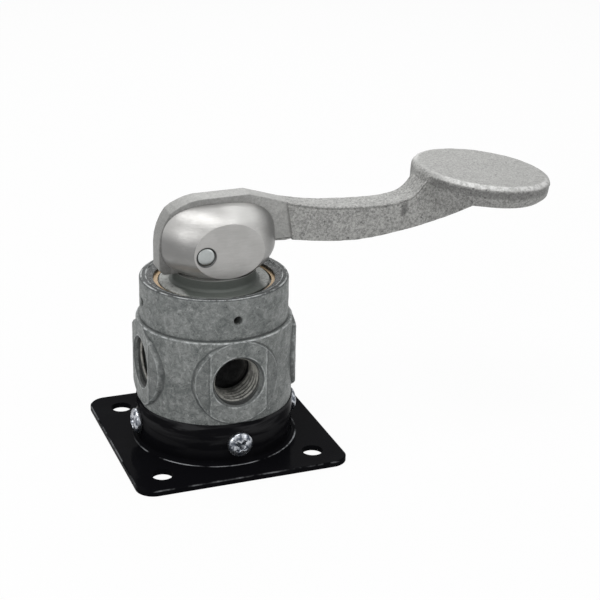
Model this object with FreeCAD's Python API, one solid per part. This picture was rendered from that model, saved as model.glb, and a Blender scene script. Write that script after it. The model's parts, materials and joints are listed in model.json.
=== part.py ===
import FreeCAD, Part
import math
import os

# Hand air valve on a mounting plate, in millimetres.
# The valve axis is +Z, the lever points along +X, and z = 0 is the underside of the plate.
V = FreeCAD.Vector
X_AXIS, Y_AXIS, Z_AXIS = V(1, 0, 0), V(0, 1, 0), V(0, 0, 1)

# Fits and clearances
face_gap = 0.02        # lapped or resting faces that can part
run_fit = 0.05         # radial, turning and sliding fits
loose_fit = 0.15       # radial, parts that only locate each other
slot_gap = 0.15        # each side of the lever in the fork
end_play = 0.1         # between the head's shoulder and its retaining ring
small_chamfer = 0.3    # plug flange and poppet
past = 1.0             # how far a cutting shape stands past the face that it cuts

# Mounting plate, one stamping with a drawn collar
hole_pitch = 41.3
hole_d = 5.6
hole_edge = 7.95       # hole centres to the plate's sides
plate_thick = 1.5
plate_corner_r = 4.8
plate_bevel = 0.3
collar_root_r = 1.0
collar_height = 11.3
bend_steps = 3

# Collar screws, pan head
screw_count = 4
screw_drop = 5.5       # under the collar's rim
screw_d = 3.5
screw_head_d = 6.6
screw_head_h = 2.1
screw_length = 5.6
screw_crown = 0.9
recess_span = 3.4
recess_slot = 0.9
recess_depth = 1.3

# Valve body casting
bore_r = 16.0
ring_wall = 3.6        # upper ring round the bore
ring_height = 11.1
ledge_w = 1.1          # lower body outside the upper ring
body_height = 22.9
body_inset = 0.3       # lower body inside the collar's outer face
ring_bevel = 0.5
ledge_chamfer = 0.3
spigot_depth = 10.0
spigot_wall = 2.9
rib_w = 8.0
hub_r = 8.4
pocket_depth = 8.6
floor_drop = 3.3       # bore floor under the seam
rim_chamfer_w = 1.9
rim_chamfer_h = 0.8
rim_step_h = 0.2
index_hole_d = 2.3
index_drop = 3.0       # index holes and detent under the head's shoulder

# Side ports, quarter inch taper thread size
port_count = 4
inlet_turn = 2
port_r = 6.5
port_depth = 11.0
port_mouth_r = 7.05
port_mouth_depth = 0.6
drill_r = 5.5
drill_tip = 3.2
boss_pad_r = 11.35
boss_rise = 1.1        # crescents stand out from the body
boss_root_depth = 4.2
boss_flat_depth = 0.3
boss_bevel = 0.25
passage_r = 2.2
passage_radius = 8.3

# Centre well, poppet and bottom plug
well_r = 3.6
poppet_r = 2.9
poppet_h = 1.5
poppet_stem_r = 1.3
poppet_stem_rise = 1.6
poppet_tail = 2.2
poppet_seal_h = 0.9
poppet_gap = 0.05
seat_hole_r = 2.3
plug_r = 5.2
plug_length = 5.5
plug_spare = 0.5
plug_flange_r = 6.8
plug_flange_h = 1.6
plug_hex = 4.8
plug_hex_depth = 2.8
ring_cord_r = 0.7
seal_sides = 6

# Seat plate, rotor disc and stop pin
gasket_thick = 0.5
seat_thick = 1.4
disc_gap = 0.2         # radial, in the head's recess
disc_thick = 2.8
disc_feed_w = 3.6
disc_feed_depth = 1.4
stop_pin_d = 2.0
stop_pin_inset = 2.55  # pin's centre inside the barrel's face
stop_pin_angle = 135.0
stop_pin_sink = 4.0
stop_pin_rise = 0.9
turn_limit = 90.0

# Head: barrel, flange, neck and fork
barrel_gap = 0.5
shoulder_drop = 2.7    # shoulder under the body's rim
flange_inset = 1.5     # flange inside the bore
flange_h = 1.6
flange_chamfer = 0.25
neck_r = 10.9
neck_h = 3.0
barrel_wall = 4.45     # barrel round the recess
spring_room = 0.98     # between disc and recess roof
seal_groove_rise = 1.4
seal_groove_h = 2.2
seal_groove_depth = 1.45
drive_pin_d = 2.0
drive_pin_radius = 6.4
drive_pin_depth = 2.6
detent_ball_d = 3.0
detent_depth = 7.75
detent_clear = 0.12
detent_angle = 90.0

# Fork cheeks: a rounded egg cut by two flats
egg_waist = 7.1        # waist above the slot floor
egg_half_x = 15.35
egg_up = 11.0
egg_down = 8.7
egg_depth = 12.9
egg_shift = 0.25
flat_y = 10.3
flat_half_x = 9.4
flat_up = 7.7
flat_down = 6.9
flat_shift = 0.9
flat_square = 2.0      # an ellipse; the egg's outlines are fuller
egg_square_up = 3.0
egg_square_down = 2.1
outline_points = 20
egg_steps = 5

# Lever pin
pin_x = -5.3
pin_rise = 6.6         # above the slot floor
pin_d = 4.6
pin_hole_lip = 0.3
pin_dome = 0.35

# Lever: machined tongue, cast arm and palm pad; heights are from the pin's centre
tongue_w = 6.0
tongue_left = -15.6
tongue_rise = 13.2
tongue_nose_r = 9.2
tongue_peak_x = 8.7
heel_gap = 0.3         # heel above the slot floor at rest
heel_end = -8.6
heel_corner = 1.2
heel_slope = 3.0
rod_face_rise = 2.0    # above the heel
rod_face_end = 4.4
tongue_throat = (13.6, 0.45)
hub_top = (19.0, 10.1)
hub_low = (20.5, -0.4)
arm_w = 8.85
arm_overlap = 3.0
arm_bevel = 0.6
arm_root_inset = 0.2   # share of its height by which the arm's root narrows inside the hub
arm_bite = 0.35        # the arm's upper edge ends this far inside the pad's rim
arm_tuck = 1.9         # and this far under the pad's face
arm_cap = 1.6          # the arm's top under the middle of the pad
arm_run = 7.3          # the arm's lower edge ends this far past the pad's centre
arm_sink = 1.55        # and this far above the pad's underside
pad_x = 76.7
pad_rise = 13.7
pad_half_x = 18.75
pad_half_y = 20.7
pad_thick = 6.3
pad_tilt = 5.1

# The pad's edge from its face to its underside: inset from the rim, and depth
pad_edge = [(2.2, 0), (0.65, 0.6), (0, 1.9), (0.7, 4.3), (2.0, pad_thick)]

# Arm edges from hub to pad: share of the way, and sag under the straight line between the ends
arm_upper = [(0, 0), (0.227, 2.58), (0.4545, 4.16), (0.682, 4.95), (0.848, 4.65), (0.939, 2.82), (1, 0)]
arm_lower = [(0, 0), (0.15, 2.5), (0.298, 4.19), (0.433, 4.67), (0.591, 4.44), (0.82, 2.74), (1, 0)]

# Push rod
rod_r = 2.0
rod_tip_r = 3.0
rod_step_rise = 1.0
rod_seal_rise = 4.5    # above the recess roof
rod_seal_h = 1.1
rod_seal_depth = 0.7

# Retaining ring
clip_thick = 1.0
clip_groove_depth = 0.65
clip_wide = 1.4
clip_narrow = 0.75
clip_gap_angle = 50.0
clip_gap_half = 9.0

# Springs
wire_sides = 4
poppet_spring_h = 9.35
poppet_wire = 0.5
poppet_coils = 4
detent_wire = 0.35
detent_coils = 3
wave_thick = 0.3
wave_in = 2.9
wave_out = 5.1
wave_count = 3
wave_points = 12

outlet_turns = [k for k in range(port_count) if k != inlet_turn]
plate_side = hole_pitch + 2 * hole_edge
collar_top = plate_thick + collar_height
screw_z = collar_top - screw_drop
ring_r = bore_r + ring_wall
body_r = ring_r + ledge_w
collar_r = body_r + body_inset
collar_in = collar_r - plate_thick
boss_reach = body_r + boss_rise
boss_root = body_r - boss_root_depth
boss_flat = body_r - boss_flat_depth
port_z = collar_top + body_height / 2
seam_z = collar_top + body_height
rim_top = seam_z + ring_height
spigot_r = collar_in - loose_fit
spigot_bottom = collar_top - spigot_depth
floor_z = seam_z - floor_drop
seat_bottom = floor_z + gasket_thick
seat_top = seat_bottom + seat_thick
poppet_top = floor_z - poppet_gap
plug_nose_top = poppet_top - poppet_seal_h - poppet_h - poppet_spring_h
stem_top = seat_top + poppet_stem_rise
disc_bottom = seat_top + face_gap
disc_top = disc_bottom + disc_thick
recess_roof = disc_top + spring_room
barrel_r = bore_r - run_fit
recess_r = barrel_r - barrel_wall
disc_r = recess_r - disc_gap
stop_pin_radius = barrel_r - stop_pin_inset
detent_bore_end = barrel_r - detent_depth
flange_r = bore_r - flange_inset
barrel_bottom = seat_top + barrel_gap
seal_groove_z = barrel_bottom + seal_groove_rise
shoulder_z = rim_top - shoulder_drop
index_hole_z = shoulder_z - index_drop
clip_bottom = shoulder_z + end_play
flange_top = shoulder_z + flange_h
slot_floor = flange_top + neck_h
slot_w = tongue_w + 2 * slot_gap
egg_waist_z = slot_floor + egg_waist
pin_z = slot_floor + pin_rise
heel_z = slot_floor + heel_gap
rod_face_z = heel_z + rod_face_rise
rod_seal_z = recess_roof + rod_seal_rise
tongue_top = pin_z + tongue_rise
pad_top = pin_z + pad_rise


def cylinder(radius, low, high, x=0, y=0):
    return Part.makeCylinder(radius, high - low, V(x, y, low), Z_AXIS)


def ring(outer, inner, low, high):
    return cylinder(outer, low, high).cut(cylinder(inner, low, high))


def radial(radius, start, end, z, angle):
    """A cylinder lying along a radius, from start to end."""
    turn = math.radians(angle)
    out = V(math.cos(turn), math.sin(turn), 0)
    return Part.makeCylinder(radius, end - start, V(0, 0, z) + out * start, out)


def turned(shape, angle):
    copy = shape.copy()
    copy.rotate(V(0, 0, 0), Z_AXIS, angle)
    return copy


def box(x0, x1, y0, y1, z0, z1):
    return Part.makeBox(x1 - x0, y1 - y0, z1 - z0, V(x0, y0, z0))


def revolved(points):
    """Turn a closed (radius, z) outline about the valve axis."""
    wire = Part.makePolygon([V(r, 0, z) for r, z in points + points[:1]])
    return Part.Face(wire).revolve(V(0, 0, 0), Z_AXIS, 360)


def cord_section(radius, z, cord_r, sides):
    """Corners of a round cord's or wire's section, drawn with few sides."""
    turns = [2 * math.pi * (k + 0.5) / sides for k in range(sides)]
    return [(radius + cord_r * math.cos(turn), z + cord_r * math.sin(turn)) for turn in turns]


def seal_ring(radius, cord_r, z):
    return revolved(cord_section(radius, z, cord_r, seal_sides))


def coil(radius, wire_d, low, high, turns):
    """A helical spring whose wire lies between low and high."""
    start = low + wire_d / 2
    pitch = (high - low - wire_d) / turns
    path = Part.makeHelix(pitch, pitch * turns, radius)
    path.translate(V(0, 0, start))
    corners = [V(r, 0, z) for r, z in cord_section(radius, start, wire_d / 2, wire_sides)]
    section = Part.makePolygon(corners + corners[:1])
    return Part.Wire(path).makePipeShell([section], True, True)


def edges_at(shape, test):
    return [edge for edge in shape.Edges if test(edge)]


def bend(radius):
    """One face of the stamping's bend, from plate to collar, in a few straight steps."""
    middle_r, middle_z = collar_r + collar_root_r, plate_thick + collar_root_r
    turns = [math.pi / 2 * k / bend_steps for k in range(bend_steps + 1)]
    return [(middle_r - radius * math.sin(turn), middle_z - radius * math.cos(turn)) for turn in turns]


def base_plate():
    half = plate_side / 2
    plate = box(-half, half, -half, half, 0, plate_thick)
    upright = edges_at(plate, lambda e: e.BoundBox.ZLength > plate_thick / 2)
    plate = plate.makeFillet(plate_corner_r, upright)
    rims = edges_at(plate, lambda e: e.BoundBox.ZMin > plate_thick - 1e-6)
    plate = plate.makeChamfer(plate_bevel, rims)
    plate = plate.cut(cylinder(collar_r + collar_root_r, 0, plate_thick))
    inside = bend(collar_root_r + plate_thick)
    outside = bend(collar_root_r)
    collar = revolved(inside + [(collar_in, collar_top), (collar_r, collar_top)] + outside[::-1])
    plate = plate.fuse(collar).removeSplitter()
    for x in (-hole_pitch / 2, hole_pitch / 2):
        for y in (-hole_pitch / 2, hole_pitch / 2):
            plate = plate.cut(cylinder(hole_d / 2, 0, plate_thick, x, y))
    for k in range(screw_count):
        plate = plate.cut(radial(screw_d / 2 + loose_fit, collar_in - past, collar_r + past, screw_z, 90 * k))
    return plate


def collar_screw():
    seat = collar_r + face_gap
    face = seat + screw_head_h
    head = radial(screw_head_d / 2, seat, face, screw_z, 0)
    head = head.makeChamfer(screw_crown, edges_at(head, lambda e: e.BoundBox.XMin > face - 1e-6))
    screw = head.fuse(radial(screw_d / 2, seat - screw_length, seat, screw_z, 0)).removeSplitter()
    half, thin = recess_span / 2, recess_slot / 2
    for y, z in ((half, thin), (thin, half)):
        screw = screw.cut(box(face - recess_depth, face, -y, y, screw_z - z, screw_z + z))
    return screw


def collar_screws():
    return Part.Compound([turned(collar_screw(), 90 * k) for k in range(screw_count)])


def port_boss():
    pad = radial(boss_pad_r, boss_root, boss_reach + past, port_z, 0)
    pad = pad.common(turned(cylinder(boss_reach, collar_top, seam_z), 180))
    rim = edges_at(pad, lambda e: e.BoundBox.XMin > boss_root + past)
    return pad.makeChamfer(boss_bevel, rim)


def port_cut():
    face = boss_flat
    bore = radial(port_r, face - port_depth, face + past, port_z, 0)
    lip = face - port_mouth_depth
    mouth = Part.makeCone(port_r, port_mouth_r, port_mouth_depth, V(lip, 0, port_z), X_AXIS)
    relief = radial(port_mouth_r, face, boss_reach + past, port_z, 0)
    tip_x = face - port_depth - drill_tip
    tip = Part.makeCone(0, drill_r, drill_tip, V(tip_x, 0, port_z), X_AXIS)
    return bore.fuse(mouth).fuse(relief).fuse(tip)


def valve_body():
    tap_end = collar_r - screw_length - loose_fit
    body = cylinder(body_r, collar_top, seam_z)
    body = body.makeChamfer(ledge_chamfer, edges_at(body, lambda e: e.BoundBox.ZMin > seam_z - 1e-6))
    for k in range(port_count):
        body = body.fuse(turned(port_boss(), 90 * k))
    body = body.removeSplitter()
    strip = math.sqrt(boss_reach ** 2 - boss_flat ** 2) + past
    flat = box(boss_flat, boss_reach + past, -strip, strip, collar_top, seam_z)
    for k in range(port_count):
        body = body.cut(turned(flat, 90 * k))
    upper = cylinder(ring_r, seam_z, rim_top)
    upper = upper.makeChamfer(ring_bevel, edges_at(upper, lambda e: e.BoundBox.ZMin > rim_top - 1e-6))
    spigot = cylinder(spigot_r, spigot_bottom, collar_top)
    body = body.fuse(upper).fuse(spigot)
    pocket = ring(spigot_r - spigot_wall, hub_r, spigot_bottom, spigot_bottom + pocket_depth)
    reach = spigot_r
    for along in (box(-reach, reach, -rib_w / 2, rib_w / 2, 0, collar_top),
                  box(-rib_w / 2, rib_w / 2, -reach, reach, 0, collar_top)):
        pocket = pocket.cut(along)
    body = body.cut(pocket)
    groove_r = bore_r + clip_groove_depth
    chamfer_r = bore_r + rim_chamfer_w
    body = body.cut(revolved([
        (0, floor_z), (bore_r, floor_z), (bore_r, clip_bottom - face_gap),
        (groove_r, clip_bottom - face_gap), (groove_r, clip_bottom + clip_thick + face_gap),
        (bore_r, clip_bottom + clip_thick + face_gap), (bore_r, rim_top - rim_chamfer_h),
        (chamfer_r, rim_top - rim_step_h), (chamfer_r, rim_top), (0, rim_top)]))
    for k in range(port_count):
        body = body.cut(turned(port_cut(), 90 * k))
        body = body.cut(radial(index_hole_d / 2, bore_r - past, ring_r + past, index_hole_z, 90 * k))
    for k in range(screw_count):
        body = body.cut(radial(screw_d / 2 + face_gap, tap_end, spigot_r + past, screw_z, 90 * k))
    for k in outlet_turns:
        body = body.cut(turned(cylinder(passage_r, port_z, floor_z, passage_radius), 90 * k))
    body = body.cut(radial(passage_r, 0, boss_flat - port_depth, port_z, 90 * inlet_turn))
    body = body.cut(cylinder(well_r, spigot_bottom, floor_z))
    body = body.cut(cylinder(plug_r + face_gap, spigot_bottom, spigot_bottom + plug_length + plug_spare))
    return body.cut(cylinder(stop_pin_d / 2 + face_gap, floor_z - stop_pin_sink - loose_fit, floor_z,
                             *stop_pin_place()))


def bottom_plug():
    top = spigot_bottom
    flange_bottom = top - face_gap - plug_flange_h
    flange = cylinder(plug_flange_r, flange_bottom, top - face_gap)
    rim = edges_at(flange, lambda e: e.BoundBox.ZMax < flange_bottom + 1e-6)
    flange = flange.makeChamfer(small_chamfer, rim)
    plug = flange.fuse(cylinder(plug_r, top - face_gap, top + plug_length))
    plug = plug.fuse(cylinder(well_r - loose_fit, top, plug_nose_top))
    corner = V(plug_hex / math.sqrt(3), 0, flange_bottom)
    step = FreeCAD.Rotation(Z_AXIS, 60)
    corners = [corner]
    for k in range(6):
        corners.append(step.multVec(corners[-1]))
    socket = Part.Face(Part.makePolygon(corners)).extrude(V(0, 0, plug_hex_depth))
    groove = ring(plug_r + past, plug_r - ring_cord_r * 2, top, top + ring_cord_r * 2)
    return plug.cut(socket).cut(groove)


def plug_o_ring():
    return seal_ring(plug_r - ring_cord_r - face_gap, ring_cord_r - face_gap, spigot_bottom + ring_cord_r)


def stop_pin_place():
    turn = math.radians(stop_pin_angle)
    return stop_pin_radius * math.cos(turn), stop_pin_radius * math.sin(turn)


def seat_layer(low, high):
    """A full disc on the bore floor with the well, passage and stop pin holes."""
    layer = cylinder(bore_r - run_fit, low, high).cut(cylinder(seat_hole_r, low, high))
    for k in outlet_turns:
        layer = layer.cut(turned(cylinder(passage_r, low, high, passage_radius), 90 * k))
    return layer.cut(cylinder(stop_pin_d / 2 + run_fit, low, high, *stop_pin_place()))


def seat_gasket():
    return seat_layer(floor_z, seat_bottom)


def seat_plate():
    return seat_layer(seat_bottom, seat_top)


def stop_pin():
    return cylinder(stop_pin_d / 2, floor_z - stop_pin_sink, barrel_bottom + stop_pin_rise, *stop_pin_place())


def feed_poppet():
    shelf = poppet_top - poppet_seal_h
    low = shelf - poppet_h
    head = cylinder(poppet_r, low, shelf)
    head = head.makeChamfer(small_chamfer, edges_at(head, lambda e: e.BoundBox.ZMax < low + 1e-6))
    return head.fuse(cylinder(poppet_stem_r, low - poppet_tail, stem_top)).removeSplitter()


def poppet_seal():
    return ring(poppet_r, poppet_stem_r + face_gap, poppet_top - poppet_seal_h + face_gap, poppet_top)


def poppet_spring():
    high = poppet_top - poppet_seal_h - poppet_h - face_gap
    return coil(poppet_r - poppet_wire / 2, poppet_wire, plug_nose_top + face_gap, high, poppet_coils)


def rotor_disc():
    disc = cylinder(disc_r, disc_bottom, disc_top)
    disc = disc.cut(cylinder(seat_hole_r, disc_bottom, disc_top))
    half_w = disc_feed_w / 2
    feed_top = disc_bottom + disc_feed_depth
    disc = disc.cut(box(0, passage_radius, -half_w, half_w, disc_bottom, feed_top))
    disc = disc.cut(cylinder(half_w, disc_bottom, feed_top, passage_radius))
    for y in (-drive_pin_radius, drive_pin_radius):
        disc = disc.cut(cylinder(drive_pin_d / 2 + run_fit, disc_top - disc_thick / 2, disc_top, 0, y))
    return disc


def drive_pins():
    low = disc_bottom + disc_thick / 2 + loose_fit
    high = recess_roof + drive_pin_depth - loose_fit
    places = (-drive_pin_radius, drive_pin_radius)
    return Part.Compound([cylinder(drive_pin_d / 2, low, high, 0, y) for y in places])


def disc_spring():
    """A wave washer between the rotor disc and the roof of the head's recess."""
    low = disc_top + face_gap
    high = recess_roof - face_gap
    middle = (low + high) / 2
    swing = (high - low - wave_thick) / 2
    wires = []
    for radius in (wave_in, wave_out):
        points = []
        for k in range(wave_points):
            turn = 2 * math.pi * k / wave_points
            points.append(V(radius * math.cos(turn), radius * math.sin(turn),
                            middle + swing * math.cos(wave_count * turn)))
        curve = Part.BSplineCurve()
        curve.interpolate(points, PeriodicFlag=True)
        wires.append(curve.toShape())
    sheet = Part.makeRuledSurface(wires[0], wires[1])
    sheet.translate(V(0, 0, -wave_thick / 2))
    return sheet.extrude(V(0, 0, wave_thick))


def egg_section(y):
    """Outline of the fork at a distance y from the middle plane, as a closed curve."""
    part = (y - slot_w / 2) / (flat_y - slot_w / 2)
    slot_share = math.sqrt(1 - (slot_w / 2 / egg_depth) ** 2)
    flat_share = math.sqrt(1 - (flat_y / egg_depth) ** 2)
    share = (math.sqrt(1 - (y / egg_depth) ** 2) - flat_share) / (slot_share - flat_share)
    half_x = flat_half_x + (egg_half_x - flat_half_x) * share
    up = flat_up + (egg_up - flat_up) * share
    down = flat_down + (egg_down - flat_down) * share
    shift = egg_shift + (flat_shift - egg_shift) * part
    square_up = egg_square_up + (flat_square - egg_square_up) * part
    square_down = egg_square_down + (flat_square - egg_square_down) * part
    points = []
    for k in range(outline_points):
        turn = 2 * math.pi * k / outline_points
        c, s = math.cos(turn), math.sin(turn)
        square = square_up if s > 0 else square_down
        tall = up if s > 0 else down
        scale = (abs(c) ** square + abs(s) ** square) ** (-1 / square)
        points.append(V(shift + half_x * c * scale, y, egg_waist_z + tall * s * scale))
    curve = Part.BSplineCurve()
    curve.interpolate(points, PeriodicFlag=True)
    return Part.Wire(curve.toShape())


def cheek():
    """One cheek of the fork, from the slot to its flat."""
    near = slot_w / 2
    sections = [egg_section(near + (flat_y - near) * k / egg_steps) for k in range(egg_steps + 1)]
    return Part.makeLoft(sections, True, True)


def fork_head():
    neck = cylinder(neck_r, flange_top, egg_waist_z - flat_down)
    flange = cylinder(flange_r, shoulder_z, flange_top)
    rim = edges_at(flange, lambda e: e.BoundBox.ZMin > flange_top - 1e-6)
    flange = flange.makeChamfer(flange_chamfer, rim)
    barrel = cylinder(barrel_r, barrel_bottom, shoulder_z)
    neck = neck.cut(box(-neck_r, neck_r, -slot_w / 2, slot_w / 2, slot_floor, egg_waist_z))
    side = cheek()
    head = barrel.fuse(flange).fuse(neck).fuse(side).fuse(side.mirror(V(0, 0, 0), Y_AXIS))
    hole_r = pin_d / 2 + face_gap
    head = head.cut(Part.makeCylinder(hole_r, 2 * flat_y, V(pin_x, -flat_y, pin_z), Y_AXIS))
    for side in (-1, 1):
        mouth = V(pin_x, side * flat_y, pin_z)
        head = head.cut(Part.makeCone(hole_r + pin_hole_lip, hole_r, pin_hole_lip, mouth, Y_AXIS * -side))
    head = head.cut(cylinder(recess_r, barrel_bottom, recess_roof))
    groove_top = seal_groove_z + seal_groove_h
    head = head.cut(ring(barrel_r + past, barrel_r - seal_groove_depth, seal_groove_z, groove_top))
    head = head.cut(cylinder(rod_r + run_fit, recess_roof, slot_floor))
    pin_top = recess_roof + drive_pin_depth
    for y in (-drive_pin_radius, drive_pin_radius):
        head = head.cut(cylinder(drive_pin_d / 2 + face_gap, recess_roof, pin_top, 0, y))
    detent_bore_r = detent_ball_d / 2 + run_fit
    head = head.cut(radial(detent_bore_r, detent_bore_end, barrel_r + past, index_hole_z, detent_angle))
    return head.cut(stop_groove())


def stop_groove():
    """Arc in the barrel's end face that the stop pin runs in."""
    width = stop_pin_d / 2 + loose_fit
    spare = math.degrees(width / stop_pin_radius)
    sweep = 2 * (turn_limit + spare)
    inner, outer = stop_pin_radius - width, stop_pin_radius + width
    top = barrel_bottom + stop_pin_rise + loose_fit
    corners = [(inner, barrel_bottom), (outer, barrel_bottom), (outer, top), (inner, top)]
    outline = Part.makePolygon([V(r, 0, z) for r, z in corners + corners[:1]])
    arc = Part.Face(outline).revolve(V(0, 0, 0), Z_AXIS, sweep)
    return turned(arc, stop_pin_angle - sweep / 2)


def head_o_ring():
    cord_r = (seal_groove_depth - run_fit) / 2
    radius = barrel_r - seal_groove_depth + cord_r + face_gap
    return seal_ring(radius, cord_r, seal_groove_z + seal_groove_h / 2)


def detent_ball():
    out = bore_r - detent_clear - detent_ball_d / 2
    return turned(Part.makeSphere(detent_ball_d / 2, V(out, 0, index_hole_z)), detent_angle)


def detent_spring():
    ball_back = bore_r - detent_clear - detent_ball_d
    radius = (detent_ball_d - detent_wire) / 2 - loose_fit
    spring = coil(radius, detent_wire, detent_bore_end + face_gap, ball_back - face_gap, detent_coils)
    spring.rotate(V(0, 0, 0), Y_AXIS, 90)
    spring.translate(V(0, 0, index_hole_z))
    return turned(spring, detent_angle)


def lever_pin():
    pin = Part.makeCylinder(pin_d / 2, 2 * flat_y, V(pin_x, -flat_y, pin_z), Y_AXIS)
    ends = edges_at(pin, lambda e: e.BoundBox.YLength < 1e-6)
    return pin.makeChamfer(pin_dome, ends)


def sagging(start, end, sags):
    """A smooth curve from start to end that hangs under the straight line by the given sags."""
    points = [start + (end - start) * share - Z_AXIS * sag for share, sag in sags]
    curve = Part.BSplineCurve()
    curve.interpolate(points)
    return curve.toShape()


def lever_point(place):
    """A point in the middle plane from its x and its height above the pin."""
    x, rise = place
    return V(x, 0, pin_z + rise)


def pad_face(x):
    """Height of the pad's tilted top face at x."""
    return pad_top - (x - pad_x) * math.tan(math.radians(pad_tilt))


def slab(edges, width):
    face = Part.Face(Part.Wire(edges))
    face.translate(V(0, -width / 2, 0))
    return face.extrude(V(0, width, 0))


def tongue():
    left, nose = tongue_left, tongue_nose_r
    diagonal = nose * math.sqrt(0.5)
    start = V(left, 0, tongue_top - nose)
    middle = V(left + nose - diagonal, 0, tongue_top - nose + diagonal)
    crown = V(left + nose, 0, tongue_top)
    corners = [crown, V(tongue_peak_x, 0, tongue_top), lever_point(hub_top), inside_arm(hub_top),
               inside_arm(hub_low), lever_point(tongue_throat),
               V(rod_face_end + heel_slope, 0, rod_face_z + heel_slope), V(rod_face_end, 0, rod_face_z),
               V(heel_end + rod_face_z - heel_z, 0, rod_face_z), V(heel_end, 0, heel_z),
               V(left + heel_corner, 0, heel_z), V(left, 0, heel_z + heel_corner), start]
    edges = [Part.Arc(start, middle, crown).toShape()]
    edges += [Part.makeLine(a, b) for a, b in zip(corners, corners[1:])]
    blade = slab(edges, tongue_w)
    hole = Part.makeCylinder(pin_d / 2 + run_fit, tongue_w, V(pin_x, -tongue_w / 2, pin_z), Y_AXIS)
    return blade.cut(hole)


def inside_arm(corner):
    """A point a little way into the arm from one of its hub corners."""
    middle = (hub_top[1] + hub_low[1]) / 2
    x, rise = corner
    return lever_point((x + arm_overlap, rise + (middle - rise) * arm_root_inset))


def arm():
    upper_x, end_x = pad_x - pad_half_x + arm_bite, pad_x + arm_run
    first, second = lever_point(hub_top), lever_point(hub_low)
    last = V(upper_x, 0, pad_face(upper_x) - arm_tuck)
    cap = V(pad_x, 0, pad_top - arm_cap)
    end_top = V(end_x, 0, pad_face(end_x) - arm_cap)
    end = V(end_x, 0, pad_face(end_x) - pad_thick + arm_sink)
    edges = [sagging(first, last, arm_upper), Part.makeLine(last, cap), Part.makeLine(cap, end_top),
             Part.makeLine(end_top, end), sagging(second, end, arm_lower), Part.makeLine(second, first)]
    beam = slab(edges, arm_w)
    side = arm_w / 2
    rims = edges_at(beam, lambda e: e.BoundBox.YLength < 1e-6 and e.BoundBox.XLength > pad_half_x
                    and abs(abs(e.BoundBox.YMin) - side) < 1e-6)
    return beam.makeChamfer(arm_bevel, rims)


def pad():
    long, short = max(pad_half_x, pad_half_y), min(pad_half_x, pad_half_y)
    rings = [Part.Ellipse(V(0, 0, -depth), long - inset, short - inset) for inset, depth in pad_edge]
    disc = Part.makeLoft([Part.Wire(ring.toShape()) for ring in rings], True, True)
    if pad_half_y > pad_half_x:
        disc.rotate(V(0, 0, 0), Z_AXIS, 90)
    disc.rotate(V(0, 0, 0), Y_AXIS, pad_tilt)
    disc.translate(V(pad_x, 0, pad_top))
    return disc


def lever():
    return tongue().fuse(arm()).fuse(pad()).removeSplitter()


def push_rod():
    low = stem_top + face_gap
    top = rod_face_z - face_gap
    step = recess_roof + rod_step_rise
    rod = cylinder(poppet_stem_r, low, step).fuse(cylinder(rod_r, step, top))
    tip = Part.makeSphere(rod_tip_r, V(0, 0, top - rod_tip_r))
    rod = rod.common(tip.fuse(cylinder(rod_r + past, low, top - rod_tip_r)))
    groove_r = rod_r - rod_seal_depth
    return rod.cut(ring(rod_r + past, groove_r, rod_seal_z, rod_seal_z + rod_seal_h))


def rod_o_ring():
    cord_r = rod_seal_depth / 2
    return seal_ring(rod_r - cord_r + face_gap, cord_r, rod_seal_z + rod_seal_h / 2)


def retaining_ring():
    """A split ring, wide opposite its gap and narrow beside it."""
    high = clip_bottom + clip_thick
    outer = bore_r + clip_groove_depth - face_gap
    inner = bore_r - (clip_wide + clip_narrow) / 2
    shift = (clip_wide - clip_narrow) / 2
    clip = cylinder(outer, clip_bottom, high).cut(cylinder(inner, clip_bottom, high, shift))
    reach = 2 * outer
    spread = reach * math.tan(math.radians(clip_gap_half))
    corners = [V(0, 0, clip_bottom), V(reach, -spread, clip_bottom), V(reach, spread, clip_bottom)]
    gap = Part.Face(Part.makePolygon(corners + corners[:1])).extrude(V(0, 0, clip_thick))
    return turned(clip.cut(gap), clip_gap_angle)


pieces = {
    "base_plate": base_plate,
    "collar_screws": collar_screws,
    "valve_body": valve_body,
    "bottom_plug": bottom_plug,
    "plug_o_ring": plug_o_ring,
    "seat_gasket": seat_gasket,
    "seat_plate": seat_plate,
    "stop_pin": stop_pin,
    "retaining_ring": retaining_ring,
    "poppet_spring": poppet_spring,
    "feed_poppet": feed_poppet,
    "poppet_seal": poppet_seal,
    "rotor_disc": rotor_disc,
    "drive_pins": drive_pins,
    "disc_spring": disc_spring,
    "fork_head": fork_head,
    "head_o_ring": head_o_ring,
    "detent_ball": detent_ball,
    "detent_spring": detent_spring,
    "lever_pin": lever_pin,
    "lever": lever,
    "push_rod": push_rod,
    "rod_o_ring": rod_o_ring,
}

os.makedirs("parts", exist_ok=True)
for name, make in pieces.items():
    shape = make()
    shape.exportStep("parts/" + name + ".step")
    kinds = "solids " + str(len(shape.Solids)) + " valid " + str(shape.isValid())
    print(name, kinds, "volume", round(shape.Volume, 2), shape.BoundBox)
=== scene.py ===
import json
from math import cos, pi, radians, sin, tan
import bmesh
import bpy
import numpy as np
from mathutils import Matrix, Vector


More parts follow.
